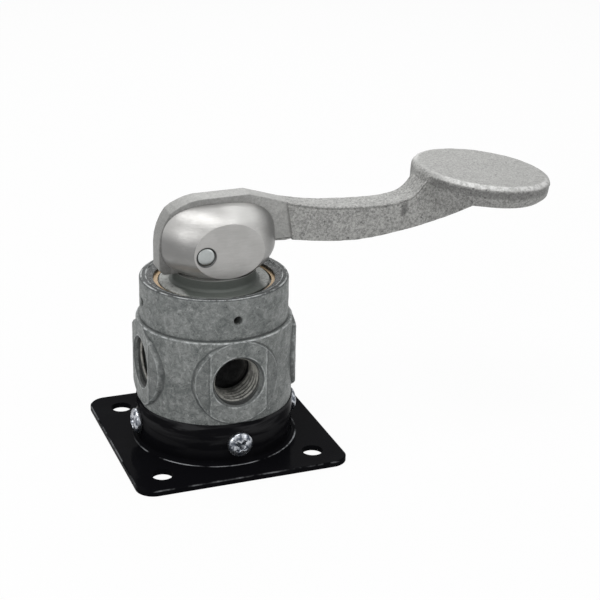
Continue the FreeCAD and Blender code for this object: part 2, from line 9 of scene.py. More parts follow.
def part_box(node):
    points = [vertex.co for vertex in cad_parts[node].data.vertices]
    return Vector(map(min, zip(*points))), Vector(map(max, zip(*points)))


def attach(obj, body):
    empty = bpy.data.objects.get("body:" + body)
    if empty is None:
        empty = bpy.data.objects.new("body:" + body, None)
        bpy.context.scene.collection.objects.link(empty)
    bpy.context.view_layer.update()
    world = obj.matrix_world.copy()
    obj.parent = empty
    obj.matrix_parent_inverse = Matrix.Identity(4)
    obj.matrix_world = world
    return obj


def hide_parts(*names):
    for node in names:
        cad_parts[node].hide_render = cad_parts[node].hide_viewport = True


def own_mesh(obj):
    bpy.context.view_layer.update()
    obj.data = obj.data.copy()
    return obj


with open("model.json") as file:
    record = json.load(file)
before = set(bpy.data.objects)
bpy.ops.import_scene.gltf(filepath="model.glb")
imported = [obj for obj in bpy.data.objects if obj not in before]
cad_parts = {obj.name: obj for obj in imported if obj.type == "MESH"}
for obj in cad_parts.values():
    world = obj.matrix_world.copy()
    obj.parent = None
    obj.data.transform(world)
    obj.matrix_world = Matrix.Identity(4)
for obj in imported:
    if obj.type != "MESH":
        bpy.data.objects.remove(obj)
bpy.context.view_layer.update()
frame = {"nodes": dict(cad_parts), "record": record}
nodes = frame["nodes"]
mm = 0.001
print("stage: frame loaded,", len(nodes), "nodes")


class Value:  # one shader socket; arithmetic on it adds Math nodes
    core = 0.3  # the part of near's half width that isn't faded

    def __init__(self, shader, socket):
        self.shader, self.socket = shader, socket

    def math(self, operation, other=0.0, swap=False):
        first, second = (other, self) if swap else (self, other)
        return self.shader.node("ShaderNodeMath", {"operation": operation}, {0: first, 1: second})

    def __abs__(self):
        return self.math("ABSOLUTE")

    def least(self, other):
        return self.math("MINIMUM", other)

    def most(self, other):
        return self.math("MAXIMUM", other)

    def step(self, low, high):  # 0 at low, 1 at high, smooth between; low may be the larger
        sockets = {"Value": self, "From Min": low, "From Max": high}
        return self.shader.node("ShaderNodeMapRange", {"interpolation_type": "SMOOTHSTEP"}, sockets)

    def clip(self, key):  # a step by the shader's values of that name
        return self.step(*self.shader.values[key])

    def near(self, key):  # share (or 1) close to the centre, fading to 0 at half away from it
        centre, half, share = (*self.shader.values[key], 1.0)[:3]
        return abs(self - centre).step(half, half * self.core) * share


operators = {"add": "ADD", "sub": "SUBTRACT", "mul": "MULTIPLY", "truediv": "DIVIDE", "pow": "POWER"}
for word, operation in operators.items():
    setattr(Value, f"__{word}__", lambda self, other, op=operation: self.math(op, other))
    setattr(Value, f"__r{word}__", lambda self, other, op=operation: self.math(op, other, True))
Value.__gt__ = lambda self, other: self.math("GREATER_THAN", other)


def distance(first, second):
    return (first * first + second * second) ** 0.5


class Shader:  # a material or a world, with its values by name
    def __init__(self, name, values, kind="materials"):
        self.data = getattr(bpy.data, kind).new(name)
        self.values = values
        self.data.use_nodes = True
        self.tree = self.data.node_tree
        self.tree.nodes.clear()
        self.place = self.node("ShaderNodeTexCoord", output="Object")

    def node(self, kind, settings=None, sockets=None, output=0):
        made = self.tree.nodes.new(kind)
        for name, value in (settings or {}).items():
            setattr(made, name, value)
        for key, value in (sockets or {}).items():
            if isinstance(value, Value):
                self.tree.links.new(value.socket, made.inputs[key])
            else:
                made.inputs[key].default_value = value
        return Value(self, made.outputs[output]) if made.outputs else None

    def noise(self, size, detail=3, rough=0.5, twist=0.0, at=None, output=0):  # size of a blotch in metres
        sockets = {"Vector": at or self.place, "Scale": 1 / size, "Detail": detail, "Roughness": rough,
                   "Distortion": twist}
        return self.node("ShaderNodeTexNoise", None, sockets, output)

    def grain(self, key):
        return self.noise(*self.values[key])

    def wander(self, key):  # noise either side of 0
        reach, *noise = self.values[key]
        return (self.noise(*noise) - 0.5) * reach

    def blotches(self, key, at=None):
        size, low, high, *noise = self.values[key]
        return self.noise(size, *noise, at=at).step(low, high)

    def cells(self, key, feature="F1", at=None):  # spots, or the lines between them
        size, low, high = self.values[key]
        sockets = {"Vector": at or self.place, "Scale": 1 / size}
        return self.node("ShaderNodeTexVoronoi", {"feature": feature}, sockets).step(low, high)

    def mixed(self, key, *parts):  # the parts, each times its share, added up
        return sum(part * share for part, share in zip(parts, self.values[key]))

    def stretch(self, key):  # object coordinates drawn out along the axes
        sockets = {0: self.place, 1: self.values[key]}
        return self.node("ShaderNodeVectorMath", {"operation": "MULTIPLY"}, sockets)

    def axes(self):
        return [self.node("ShaderNodeSeparateXYZ", None, {0: self.place}, name) for name in "XYZ"]

    def blend(self, factor, first, second):  # a colour is a socket, a name or three numbers
        paint = lambda c: c if isinstance(c, Value) else (*(self.values[c] if isinstance(c, str) else c), 1)
        sockets = {0: factor, 6: paint(first), 7: paint(second)}
        return self.node("ShaderNodeMix", {"data_type": "RGBA"}, sockets, 2)

    def coats(self, colour, *layers):  # each layer, a factor and a colour, blended over those before it
        for factor, paint in layers:
            colour = self.blend(factor, colour, paint)
        return colour

    def bump(self, height):  # relief in metres for a height of one
        sockets = {"Height": height, "Distance": self.values["relief"], "Strength": 1.0}
        return self.node("ShaderNodeBump", None, sockets)

    def finish(self, **sockets):
        sockets = {key.replace("_", " "): value for key, value in sockets.items()}
        surface = self.node("ShaderNodeBsdfPrincipled", None, sockets)
        self.node("ShaderNodeOutputMaterial", None, {"Surface": surface})
        return self.data


# finishes; a named value holds a step's start and end, near's centre, half width and share, or blotches' size,
# step, detail, roughness and twist

def blackEnamel():
    # gloss black, dusty and smeared; painted highlight lines at the collar's foot and the plate's rim, painted
    # sheen on the collar
    paint = {
        "colour": (0.0045, 0.0045, 0.0055), "dust": (0.05, 0.05, 0.052), "edge": (0.42, 0.43, 0.45),
        "peel": (0.0022, 2, 0.4), "relief": 0.000012, "specks": (0.00055, 0.10, 0.03), "patch": (0.004, 2),
        "patchFrom": 0.62, "dustAndSheen": (0.5, 0.06, 1), "rough": (0.12, 0.10, 0.3),
        "smear": (0.011, 0.52, 0.75, 4, 0.6), "broken": (0.006, 0.40, 0.62, 3, 0.6),
        "foot": (0.0221, 0.00028, 0.9), "footZ": (0.0016, 0.0007), "footY": (0.004, -0.012),
        "rim": (0.0285, 0.00022, 0.35), "rimZ": (0.00135, 0.00025),
        "bands": (0.0034, 0.44, 0.62, 3, 0.5, 0.4), "drawn": (0.22, 0.22, 1.5), "ior": 1.028,
        "sheenZ": (0.0025, 0.0090), "topZ": (0.0085, 0.0110), "least": 0.04, "sheen": 0.26,
        "topSheen": 0.30,
    }
    s = Shader("blackEnamel", paint)
    x, y, z = s.axes()
    specks = s.cells("specks") * (s.grain("patch") > paint["patchFrom"])
    smear, broken = s.blotches("smear"), s.blotches("broken")
    # painted highlight lines: the front of the collar's foot and the plate's rim, broken up in blotches
    foot = distance(x, y).near("foot") * z.near("footZ") * y.clip("footY")
    rim = abs(x).most(abs(y)).near("rim") * z.near("rimZ")
    # painted reflection: a sheen in wavy bands on the collar, stronger near its top, added in with the real
    # dust and smears
    bands = s.blotches("bands", at=s.stretch("drawn"))
    sheen = bands * (z.clip("topZ") * paint["topSheen"] + paint["sheen"]) + paint["least"]
    dustAndSheen = s.mixed("dustAndSheen", specks, smear, z.clip("sheenZ") * sheen)
    colour = s.coats("colour", (dustAndSheen, "dust"), ((foot + rim) * broken, "edge"))
    return s.finish(Base_Color=colour, Roughness=s.mixed("rough", 1, smear, specks), IOR=paint["ior"],
                    Specular_IOR_Level=0.5, Normal=s.bump(s.grain("peel")))


def brightZinc():
    # bright plating with small stains; painted shade inside the cross recess
    plating = {
        "colour": (0.50, 0.52, 0.55), "stain": (0.06, 0.07, 0.09), "dark": (0.02, 0.025, 0.03),
        "blotches": (0.0011, 0.40, 0.62, 4, 0.6), "grit": 0.0006, "relief": 0.00006, "screwZ": 0.0073,
        "shaded": 0.8, "rough": (0.15, 0.25), "recessOut": (0.0224 ** 2, 0.0217 ** 2),
        "recessAcross": (0.0021, 0.0018),
    }
    s = Shader("brightZinc", plating)
    x, y, z = s.axes()
    stain = s.blotches("blotches")
    across = distance(abs(x).least(abs(y)), z - plating["screwZ"])
    # painted shade in the middle of the cross recess
    recess = (x * x + y * y).clip("recessOut") * across.clip("recessAcross") * plating["shaded"]
    colour = s.coats("colour", (stain, "stain"), (recess, "dark"))
    return s.finish(Base_Color=colour, Metallic=0.9, Roughness=s.mixed("rough", 1, stain),
                    Normal=s.bump(s.noise(plating["grit"])))


def dieCastGrey():
    # tone is clouds, mottle and grain added up; painted highlight lines on the edges, painted shade in the
    # corners beside them, in the thread roots and, near black, deep in the ports
    skin = {
        "dark": (0.086, 0.096, 0.094), "light": (0.268, 0.280, 0.274), "scuff": (0.46, 0.47, 0.46),
        "pit": (0.04, 0.043, 0.043), "soot": (0.03, 0.033, 0.034), "worn": (0.52, 0.54, 0.54),
        "crest": (0.42, 0.415, 0.38), "root": (0.045, 0.047, 0.046), "black": (0.004, 0.004, 0.004),
        "clouds": (0.0052, 0.36, 0.64, 4, 0.62, 0.8), "mottle": (0.0013, 0.36, 0.66, 4, 0.7, 0.6),
        "grain": (0.0003, 2, 0.6), "grainStep": (0.3, 0.7), "relief": 0.00016, "warp": 1 / 420,
        "warpReach": 0.004, "veins": (0.0042, 0.05, 0.0), "pits": (0.00085, 0.24, 0.06), "patch": 0.0016,
        "patchFrom": 0.52, "broken": (0.0022, 0.36, 0.60, 4, 0.7), "wander": (0.0007, 0.003, 3, 0.6),
        "tone": (0.32, 0.44, 0.24), "veined": 0.32, "pitted": 0.75, "crescentDarker": 0.22, "topped": 0.88,
        "shaded": (0.55, 0.35), "crested": (0.4, 0.6), "height": (0.6, 0.45, 0.5, -0.9, -0.3),
        "rough": (0.56, -0.14, -0.2), "portZ": 0.02425, "boss": (0.01155, 0.01135),
        "outside": (0.0195, 0.0200), "below": (0.0356, 0.0355), "bossLine": (0.01115, 0.0002, 0.4),
        "bossShade": (0.01155, 0.0003, 0.7), "mouthLine": (0.00715, 0.0002, 0.7),
        "mouthShade": (0.00675, 0.0003, 0.8), "flatLine": (0.00745, 0.0002, 0.5),
        "flatShade": (0.0079, 0.0003, 0.6), "crescent": (0.0077, 0.0083),
        "seamLine": (0.0355, 0.00026, 0.9), "seamOut": (0.0202, 0.0204),
        "seamShade": (0.03585, 0.00035, 0.7), "seamIn": (0.0197, 0.0004), "rimLine": (0.0191, 0.0003, 0.9),
        "rimZ": (0.0461, 0.0466), "lipLine": (0.0179, 0.00022), "lipZ": (0.0462, 0.0466),
        "topZ": (0.0463, 0.04665), "well": (0.0180, 0.0177), "wellZ": (0.0430, 0.0455),
        "port": (0.00665, 0.00655), "portOut": (0.0202, 0.0199), "portTop": (0.0357, 0.0347),
        "thread": (0.00592, 0.00622), "deep": (0.0150, 0.0092),
    }
    s = Shader("dieCastGrey", skin)
    x, y, z = s.axes()
    clouds, mottle, broken = (s.blotches(name) for name in ("clouds", "mottle", "broken"))
    grain = s.grain("grain")
    tone = s.mixed("tone", clouds, mottle, grain.clip("grainStep"))
    warped = s.node("ShaderNodeVectorMath", {"operation": "MULTIPLY_ADD"},
                    {0: s.noise(skin["warp"], output=1), 1: (skin["warpReach"],) * 3, 2: s.place})
    veins = s.cells("veins", "DISTANCE_TO_EDGE", warped) * mottle
    pits = s.cells("pits") * (s.noise(skin["patch"]) > skin["patchFrom"])
    wander = s.wander("wander")

    out = distance(x, y)
    side = abs(x).least(abs(y))
    port = distance(side, z - skin["portZ"])
    edge, brink = port + wander, side + wander
    onBoss = port.clip("boss")
    outside = out.clip("outside") * z.clip("below")

    # painted highlight lines (Line) and painted shade beside them (Shade)
    def portMarks(kind):  # along the boss circle, the mouth and the two straight edges of the flat
        curved = edge.near("boss" + kind) + port.near("mouth" + kind)
        return (curved + brink.near("flat" + kind) * onBoss) * outside

    # painted highlight lines on the port edges, the seam's ledge, the rim's outer round and the bore's lip
    light = portMarks("Line") + z.near("seamLine") * out.clip("seamOut")
    light = light + z.clip("rimZ") * out.near("rimLine") + z.clip("lipZ") * out.near("lipLine")
    # painted shade in the corners beside the port edges and above the seam's ledge
    shade = portMarks("Shade") + z.near("seamShade") * out.near("seamIn")
    # a little darker on the boss's crescents beside the flat
    crescent = outside * onBoss * side.clip("crescent")
    # darker and glossier on the rim's inner bevel and upper bore; the rim's top face is darker too
    well = out.clip("well") * z.clip("wellZ")

    shaded = shade.least(1.0) * s.mixed("shaded", 1, mottle)
    # painted shade: thread roots dark under crests that are lighter in blotches, and the port's deep end near
    # black
    crest = s.blend(s.mixed("crested", 1, broken), "root", "crest")
    thread = s.coats(crest, (port.clip("thread"), "root"), (out.clip("deep"), "black"))
    inPort = port.clip("port") * out.clip("portOut") * z.clip("portTop")
    colour = s.coats(
        "dark", (tone, "light"), (veins * skin["veined"], "scuff"), (pits * skin["pitted"], "pit"),
        (crescent * skin["crescentDarker"], "soot"), (z.clip("topZ").most(well) * skin["topped"], "soot"),
        (shaded, "soot"), (light.least(1.0) * broken, "worn"), (inPort, thread))
    height = s.mixed("height", mottle, grain, clouds, pits, veins)
    return s.finish(Base_Color=colour, Metallic=0.22, Roughness=s.mixed("rough", 1, tone, well),
                    Specular_IOR_Level=0.3, Normal=s.bump(height))


def satinFork():
    # brushed satin above the slot floor, with painted dark reflection at the cheeks' ends, painted highlights
    # and painted shade round the pin; dull cast skin on the neck and flange, darkened for painted shade under
    # the cheeks, with painted light at the flange's ends
    polish = {
        "colour": (0.45, 0.445, 0.435), "dull": (0.35, 0.345, 0.335), "deep": (0.155, 0.155, 0.152),
        "gleam": (0.75, 0.75, 0.73), "cast": (0.070, 0.080, 0.072), "castLight": (0.105, 0.115, 0.105),
        "bright": (0.44, 0.45, 0.43), "soot": (0.02, 0.022, 0.022), "cloud": (0.004, 0.35, 0.7, 3, 0.5),
        "grain": (0.00022, 2, 0.6), "pebble": (0.0008, 4, 0.7), "tone": (0.4, 0.2, 0.3), "ends": (1, 0.9),
        "darkened": 0.8, "gleaming": 0.5, "height": (0.6, 0.9, 6.0), "rough": (0.27, 0.10, 0.08, 0.25),
        "metal": (0.6, -0.4), "relief": 0.000016, "strokes": (0.0011, 0.30, 0.70, 4, 0.7),
        "drawn": (0.30, 1.0, 3.0), "below": (0.0489, 0.0485), "curved": (0.0103, 0.01025),
        "leftX": (-0.0030, -0.0075), "leftTop": (0.0620, 0.0580), "leftFoot": (0.0512, 0.0560),
        "rightX": (0.0082, 0.0130), "gleamX": (0.0052, 0.0060), "gleamZ": (0.0618, 0.0640),
        "underX": (-0.0045, 0.0070), "underZ": (0.0520, 0.0500), "pinX": -0.0053, "pinZ": 0.0553,
        "pinRing": (0.00245, 0.0004, 0.9), "patch": (0.0009, 0.2, 0.6, 3, 0.7), "patchX": (0.0095, 0.0115),
        "patchOut": (0.0116, 0.0122),
    }
    s = Shader("satinFork", polish)
    x, y, z = s.axes()
    cloud, fine = s.blotches("cloud"), s.grain("grain")
    strokes = s.blotches("strokes", at=s.stretch("drawn"))
    below = z.clip("below")
    curved = abs(y).clip("curved") * (1 - below)
    # painted dark reflection on the cheeks' curved sides towards their left and right ends
    left = x.clip("leftX") * z.clip("leftTop") * z.clip("leftFoot")
    dark = s.mixed("ends", left, x.clip("rightX")).least(1.0) * curved
    # painted highlights on the curved sides, high up near the flat and low on the cheeks
    gleam = x.near("gleamX") * z.clip("gleamZ") + x.near("underX") * z.clip("underZ")
    fromPin = distance(x - polish["pinX"], z - polish["pinZ"])
    # painted light on the flange's left and right ends, beside the shade under the cheeks
    patch = s.blotches("patch") * abs(x).clip("patchX") * distance(x, y).clip("patchOut")
    # painted shade in a ring round the pin
    ring = fromPin.near("pinRing") * (1 - below)
    # the neck and flange: dull cast skin, darkened for painted shade under the cheeks
    skin = s.coats("cast", (fine, "castLight"), (patch, "bright"))
    colour = s.coats(
        "colour", (s.mixed("tone", cloud, fine, strokes), "dull"),
        (dark * polish["darkened"], "deep"), (gleam * curved * polish["gleaming"], "gleam"),
        (ring, "soot"), (below, skin))
    height = s.mixed("height", fine, strokes * curved, s.grain("pebble") * below)
    return s.finish(Base_Color=colour, Metallic=s.mixed("metal", 1, below),
                    Roughness=s.mixed("rough", 1, fine, strokes, below), Normal=s.bump(height))


def sandCast():
    # coarse speckle, finer on the pad's face and the tongue; painted highlight on the pad's rim, painted shade
    # on its side, on the tongue's flanks and in a hollow under the pad
    cast = {
        "light": (0.425, 0.425, 0.41), "dark": (0.15, 0.15, 0.145), "pit": (0.045, 0.045, 0.045),
        "bright": (0.72, 0.72, 0.71), "fine": (0.33, 0.33, 0.32), "relief": 0.00024,
        "grain": (0.00066, 4, 0.75), "speckle": (0.76, 0.2), "evened": 0.4, "pitted": 0.8, "glinting": 0.55,
        "machined": 0.6, "rimHighlight": (0.25, 0.55), "sideDark": (0.48, -0.34), "creviceDark": 0.6,
        "height": (0.7, 0.3, -0.6), "flattened": 0.75, "rough": (0.46, 0.16), "grainStep": (0.35, 0.65),
        "cloud": (0.0035, 0.3, 0.7, 4, 0.6), "pits": (0.0011, 0.36, 0.05),
        "patches": (0.0022, 0.40, 0.62, 3, 0.6), "glints": (0.00026, 0.58, 0.72, 2, 0.7),
        "worn": (0.0011, 0.38, 0.60, 3, 0.7), "tongueZ": 0.0654, "tongueLean": 0.143,
        "tongue": (0.0191, 0.0189), "flankY": (0.0027, 0.0029), "flankX": (0.0110, 0.0080),
        "tail": (-0.0123, -0.0128), "flank": 0.25, "padX": 0.0767, "padTop": 0.069, "halfX": 0.0187,
        "halfY": 0.0207, "slope": 0.0892, "onPad": (0.0575, 0.0585), "face": (0.0008, 0.0003),
        "smooth": 0.35, "rim": (0.89, 0.94), "rimDeep": (0.0012, 0.0007), "rimFrom": (0.0585, 0.0630),
        "rimTo": (0.0935, 0.0880), "side": (0.80, 0.88), "sideDeep": (0.0009, 0.0015),
        "sideY": (0.0048, 0.0064), "low": (0.0030, 0.0038), "creviceX": 0.0524, "creviceZ": 0.0612,
        "creviceNarrow": 2.2, "creviceTall": 0.35, "crevice": (0.0022, 0.0006),
        "creviceY": (-0.0040, -0.0042), "ragged": (0.004, 0.0018, 3, 0.7),
    }
    s = Shader("sandCast", cast)
    x, y, z = s.axes()
    grains = s.grain("grain")
    cloud, glints, worn = (s.blotches(name) for name in ("cloud", "glints", "worn"))
    pits = s.cells("pits") * s.blotches("patches")

    tongue = (x + (z - cast["tongueZ"]) * cast["tongueLean"]).clip("tongue")
    # painted shade on the tongue's flanks between the cheeks and on its tail
    flank = abs(y).clip("flankY") * x.clip("flankX") + x.clip("tail")
    rimmed = distance((x - cast["padX"]) / cast["halfX"], y / cast["halfY"])
    depth = cast["padTop"] - z - (x - cast["padX"]) * cast["slope"]
    onPad = x.clip("onPad")
    # painted highlight along the pad's rim, varying in blotches
    rim = rimmed.clip("rim") * depth.clip("rimDeep") * x.clip("rimFrom") * x.clip("rimTo")
    # painted shade on the pad's side, less towards its lower bevel
    side = depth.clip("sideDeep") * onPad * rimmed.clip("side") * abs(y).clip("sideY")
    smooth = depth.clip("face") * onPad * cast["smooth"]
    # painted shade of a small hollow the mesh doesn't have: a ragged dark mark on the arm's near face below
    # the pad
    aside, rise = (x - cast["creviceX"]) ** 2, (z - cast["creviceZ"]) ** 2
    crevice = (aside * cast["creviceNarrow"] + rise * cast["creviceTall"]) ** 0.5
    crevice = (crevice + s.wander("ragged")).clip("crevice") * y.clip("creviceY")

    speckle = s.mixed("speckle", grains.clip("grainStep"), cloud) * (1 - smooth)
    darkened = side * s.mixed("sideDark", 1, depth.clip("low")) + crevice * cast["creviceDark"]
    colour = s.coats(
        "light", (speckle + smooth * cast["evened"], "dark"),
        (pits * (cast["pitted"] - smooth), "pit"), (glints * cast["glinting"], "bright"),
        (tongue * cast["machined"], "fine"), (rim * s.mixed("rimHighlight", 1, worn), "bright"),
        (tongue * flank * cast["flank"], "pit"), (darkened, "pit"))
    height = s.mixed("height", grains, cloud, pits) * (1 - tongue * cast["flattened"])
    return s.finish(Base_Color=colour, Metallic=0.3, Roughness=s.mixed("rough", 1, grains),
                    Normal=s.bump(height))


def cloudy(name, colour, metallic=1.0, roughness=0.3):
    # one colour with soft clouds, for the small pieces and those inside
    film = {"cloud": (0.0018, 3, 0.6), "fine": (0.0004, 2), "darker": 0.7, "rougher": 0.12, "relief": 1e-5}
    s = Shader(name, film)
    cloud = s.grain("cloud")
    darker = tuple(film["darker"] * c for c in colour)
    return s.finish(Base_Color=s.blend(cloud, colour, darker), Metallic=metallic,
                    Roughness=roughness + cloud * film["rougher"], Normal=s.bump(s.grain("fine")))


finishes = {
    "plate_black": blackEnamel(), "screw_zinc": brightZinc(), "body_casting": dieCastGrey(),
    "fork_satin": satinFork(), "lever_casting": sandCast(),
    "plug_brass": cloudy("turnedBrass", (0.56, 0.41, 0.17)),
    "seal_rubber": cloudy("sealRubber", (0.02, 0.02, 0.021), 0.0, 0.6),
    "ground_steel": cloudy("groundSteel", (0.5, 0.51, 0.52)),
    "ring_tan": cloudy("tanSpringSteel", (0.36, 0.25, 0.135), 0.6, 0.4),
    "spring_steel": cloudy("springWire", (0.45, 0.45, 0.46)),
    "disc_plastic": cloudy("discPlastic", (0.7, 0.68, 0.6), 0.0, 0.45),
    "pin_zinc": cloudy("zincPin", (0.46, 0.485, 0.48), 1.0, 0.25),
}
for part in frame["record"]["subparts"]:
    mesh = nodes[part["node"]].data
    mesh.materials.clear()
    mesh.materials.append(finishes[part["material_slot"]])
print("stage: finishes made,", len(finishes))


weldWithin = 0.002  # mm; seams and poles close by it


class Piece:  # joins grids of points, in mm, into one closed mesh
    def __init__(self, name):
        self.name, self.points, self.faces, self.count = name, [], [], 0

    def patch(self, grid):  # rows by columns by xyz; the last column joins the first
        rows, columns = grid.shape[:2]
        index = self.count + np.arange(rows * columns).reshape(rows, columns)
        beside = np.roll(index, -1, 1)
        corners = [index[:-1], beside[:-1], beside[1:], index[1:]]
        self.faces.append(np.stack(corners, -1).reshape(-1, 4))
        self.points.append(grid.reshape(-1, 3))
        self.count += rows * columns

    def make(self, slot, body, sharp, replaced=()):
        points, faces = np.vstack(self.points) * mm, np.vstack(self.faces)
        mesh = bpy.data.meshes.new(self.name)
        mesh.vertices.add(len(points))
        mesh.vertices.foreach_set("co", points.astype(np.float32).ravel())
        mesh.loops.add(faces.size)
        mesh.loops.foreach_set("vertex_index", faces.astype(np.int32).ravel())
        mesh.polygons.add(len(faces))
        mesh.polygons.foreach_set("loop_start", np.arange(0, faces.size, 4, dtype=np.int32))
        mesh.update(calc_edges=True)
        work = bmesh.new()
        work.from_mesh(mesh)
        bmesh.ops.remove_doubles(work, verts=work.verts, dist=weldWithin * mm)
        bmesh.ops.recalc_face_normals(work, faces=work.faces)
        work.to_mesh(mesh)
        work.free()
        mesh.polygons.foreach_set("use_smooth", np.ones(len(mesh.polygons), bool))
        mesh.set_sharp_from_angle(angle=radians(sharp))
        mesh.materials.append(finishes[slot])
        piece = added(self.name, mesh)
        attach(piece, body)
        if replaced:
            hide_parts(*replaced)
        print("stage:", self.name, len(mesh.vertices), "points")
        return piece


def added(name, data):  # a new object in the scene
    made = bpy.data.objects.new(name, data)
    bpy.context.scene.collection.objects.link(made)
    return made


def lumps(points, size, seed):
    # smooth random height from -1 to 1 at each point: random values on a lattice, eased between
    side = 32
    table = np.random.default_rng(seed).uniform(-1, 1, (side, side, side))
    cell = points / size
    low = np.floor(cell).astype(int)
    part = cell - low
    part = part * part * (3 - 2 * part)
    total = 0
    for corner in np.ndindex(2, 2, 2):
        at = (low + corner) % side
        weight = np.prod(np.where(corner, part, 1 - part), axis=-1)
        total = total + weight * table[at[..., 0], at[..., 1], at[..., 2]]
    return total


def castRough(points, piece, seed):  # slow lumps and finer grit, in mm, at a cast piece's points
    slow, fine = lumps(points, piece["lumpSize"], seed), lumps(points, piece["gritSize"], seed + 1)
    return piece["lump"] * slow + piece["grit"] * fine


def xyz(x, y, z):  # one array of points from numbers and arrays
    return np.stack(np.broadcast_arrays(x, y, z), -1)


def circle(columns):  # angles once round
    return np.linspace(0, 2 * pi, columns, endpoint=False)


def ease(value, low, high):  # 0 up to low, 1 from high, smooth between; low may be the larger
    part = np.clip((value - low) / (high - low), 0, 1)
    return part * part * (3 - 2 * part)


def turn(points, degrees):  # points turned about the valve axis
    c, s = cos(radians(degrees)), sin(radians(degrees))
    x, y, z = np.moveaxis(points, -1, 0)
    return xyz(x * c - y * s, x * s + y * c, z)


def spun(profile, angles):  # profile of (radius, z) carried round the valve axis: (r cos a, r sin a, z)
    r, z = np.array(profile, float).T[:, :, None]
    return xyz(r * np.cos(angles), r * np.sin(angles), z)


def spunOut(profile, columns, centre=(0, 0, 0)):
    # profile of (radius, x) about an axis along +X: (x, r cos a, r sin a), moved to the centre
    a = circle(columns)
    r, x = np.array(profile, float).T[:, :, None]
    return xyz(x, r * np.cos(a), r * np.sin(a)) + np.array(centre, float)


# valve body casting

body = {
    "lowRadius": 20.7, "ringRadius": 19.6, "bottom": 12.8, "seam": 35.7, "rim": 46.8, "bore": 16.0,
    "boreFloor": 32.4, "ledge": 0.3, "cove": 0.15, "rimRound": 0.7, "rimBevel": 1.9, "rimDrop": 0.8,
    "rimStep": 0.2, "portZ": 24.25, "portRadius": 6.5, "mouthRadius": 7.05, "mouthDepth": 0.6,
    "mouthRound": 0.02, "portDepth": 11.0, "drillRadius": 5.5, "drillTip": 3.2, "flat": 20.4,
    "flatSoft": 0.004, "bossRadius": 11.35, "bossReach": 21.8, "bossSoft": 0.16, "bossOut": 0.09,
    "boss": [7.3, 7.6, 7.9, 8.2, 8.5, 8.8, 9.1, 9.4, 9.7, 10.0, 10.3, 10.6, 10.85, 11.05],
    "bossEdge": [-0.16, -0.11, -0.06, -0.01, 0.04, 0.08], "indexZ": 41.1, "indexRadius": 1.15,
    "indexEnd": 16.3, "indexRound": 0.06, "indexBevel": 0.12,
    "index": [1.3, 1.5, 1.8, 2.2, 2.7, 3.3, 4.0, 4.7], "calmPort": (0.1, 1.4), "calmIndex": (0.05, 0.5),
    "spigotRadius": 19.35, "spigotBottom": 2.8, "spigotWall": 2.9, "hub": 8.4, "pocket": 8.6, "rib": 8.0,
    "footSoft": 0.3, "footNext": 0.8, "wallRound": 0.2, "ribRound": 0.25, "footMiddle": [4.0, 0.0],
    "across": 64, "lowTall": 52, "lowRows": 26, "ringTall": 26, "ringRows": 22, "sharp": 28, "lump": 0.035,
    "lumpSize": 2.3, "grit": 0.018, "gritSize": 0.75, "seed": 11,
}


def castSkin(p):  # the casting's unevenness: points moved in or out along their own radius
    x, y, z = np.moveaxis(p, -1, 0)
    side = np.minimum(np.abs(x), np.abs(y))  # distance from the nearest port's axis, across it
    fromPort = np.hypot(side, z - body["portZ"]) - body["mouthRadius"]
    fromIndex = np.hypot(side, z - body["indexZ"]) - body["indexRadius"]
    calm = ease(fromPort, *body["calmPort"]) * ease(fromIndex, *body["calmIndex"])
    share = 1 + castRough(p, body, body["seed"]) * calm / np.maximum(np.hypot(x, y), 1)
    return p * xyz(share, share, 1)


def lowSkin(y, z):
    # x of the lower body: a cylinder, raised inside the boss circle, cut off smoothly by the port's flat
    reach = body["bossReach"] - body["lowRadius"]
    fromEdge = np.hypot(y, z - body["portZ"]) - body["bossRadius"]
    raised = ease(fromEdge, body["bossOut"], -body["bossSoft"])
    x = np.sqrt((body["lowRadius"] + reach * raised) ** 2 - y ** 2)
    gap = x - body["flat"]
    return body["flat"] + 0.5 * (gap - np.sqrt(gap ** 2 + body["flatSoft"]))


def ringSkin(y, z):  # x of the upper ring, a plain cylinder
    return np.sqrt(body["ringRadius"] ** 2 - y ** 2)


def holed(skin, radius, low, high, centreZ, circles, tall, rows):
    # a quarter of the skin with a round hole: rings of the given radii, then rows out to the quarter's edges
    half = radius * sin(pi / 4)
    s = np.linspace(-1, 1, body["across"], endpoint=False)
    t = np.linspace(low, high, tall, endpoint=False)
    edgeY = np.concatenate([s * half, np.full(tall, half), -s * half, np.full(tall, -half)])
    edgeZ = np.concatenate([np.full(s.size, low), t, np.full(s.size, high), low + high - t]) - centreZ
    reach = np.hypot(edgeY, edgeZ)
    last = circles[-1]
    step = np.linspace(0, 1, rows + 1)[1:, None]
    radii = np.vstack([np.array(circles)[:, None] + 0 * reach, last + (reach - last) * step])
    y, z = radii * edgeY / reach, radii * edgeZ / reach + centreZ
    return xyz(skin(y, z), y, z)


def tube(first, profile, centreZ):  # from a hole's first ring down a profile of (radius, x) about its axis
    y, z = first[:, 1], first[:, 2] - centreZ
    reach = np.hypot(y, z)
    r, x = np.array(profile, float).T[:, :, None]
    rest = xyz(x, r * y / reach, r * z / reach + centreZ)
    return np.vstack([first[None], rest])


def underside(angles):
    # z over radius and angle: the spigot's foot, sunk into four pockets between hub, wall and ribs
    b = body
    outer, half, soft = b["spigotRadius"] - b["spigotWall"], b["rib"] / 2, b["footSoft"]
    wall = np.linspace(outer + soft, outer - soft, 5)
    floor = np.linspace(outer - b["footNext"], b["hub"] + b["footNext"], 16)
    hub = np.linspace(b["hub"] + soft, b["hub"] - soft, 5)
    r = np.concatenate([[b["spigotRadius"]], wall, floor, hub, b["footMiddle"]])[:, None]
    x, y = r * np.cos(angles), r * np.sin(angles)
    deep = ease(r, b["hub"] - b["wallRound"], b["hub"] + b["wallRound"])
    deep = deep * ease(r, outer + b["wallRound"], outer - b["wallRound"])
    for side in (x, y):
        deep = deep * ease(np.abs(side), half - b["ribRound"], half + b["ribRound"])
    return xyz(x, y, b["spigotBottom"] + b["pocket"] * deep)


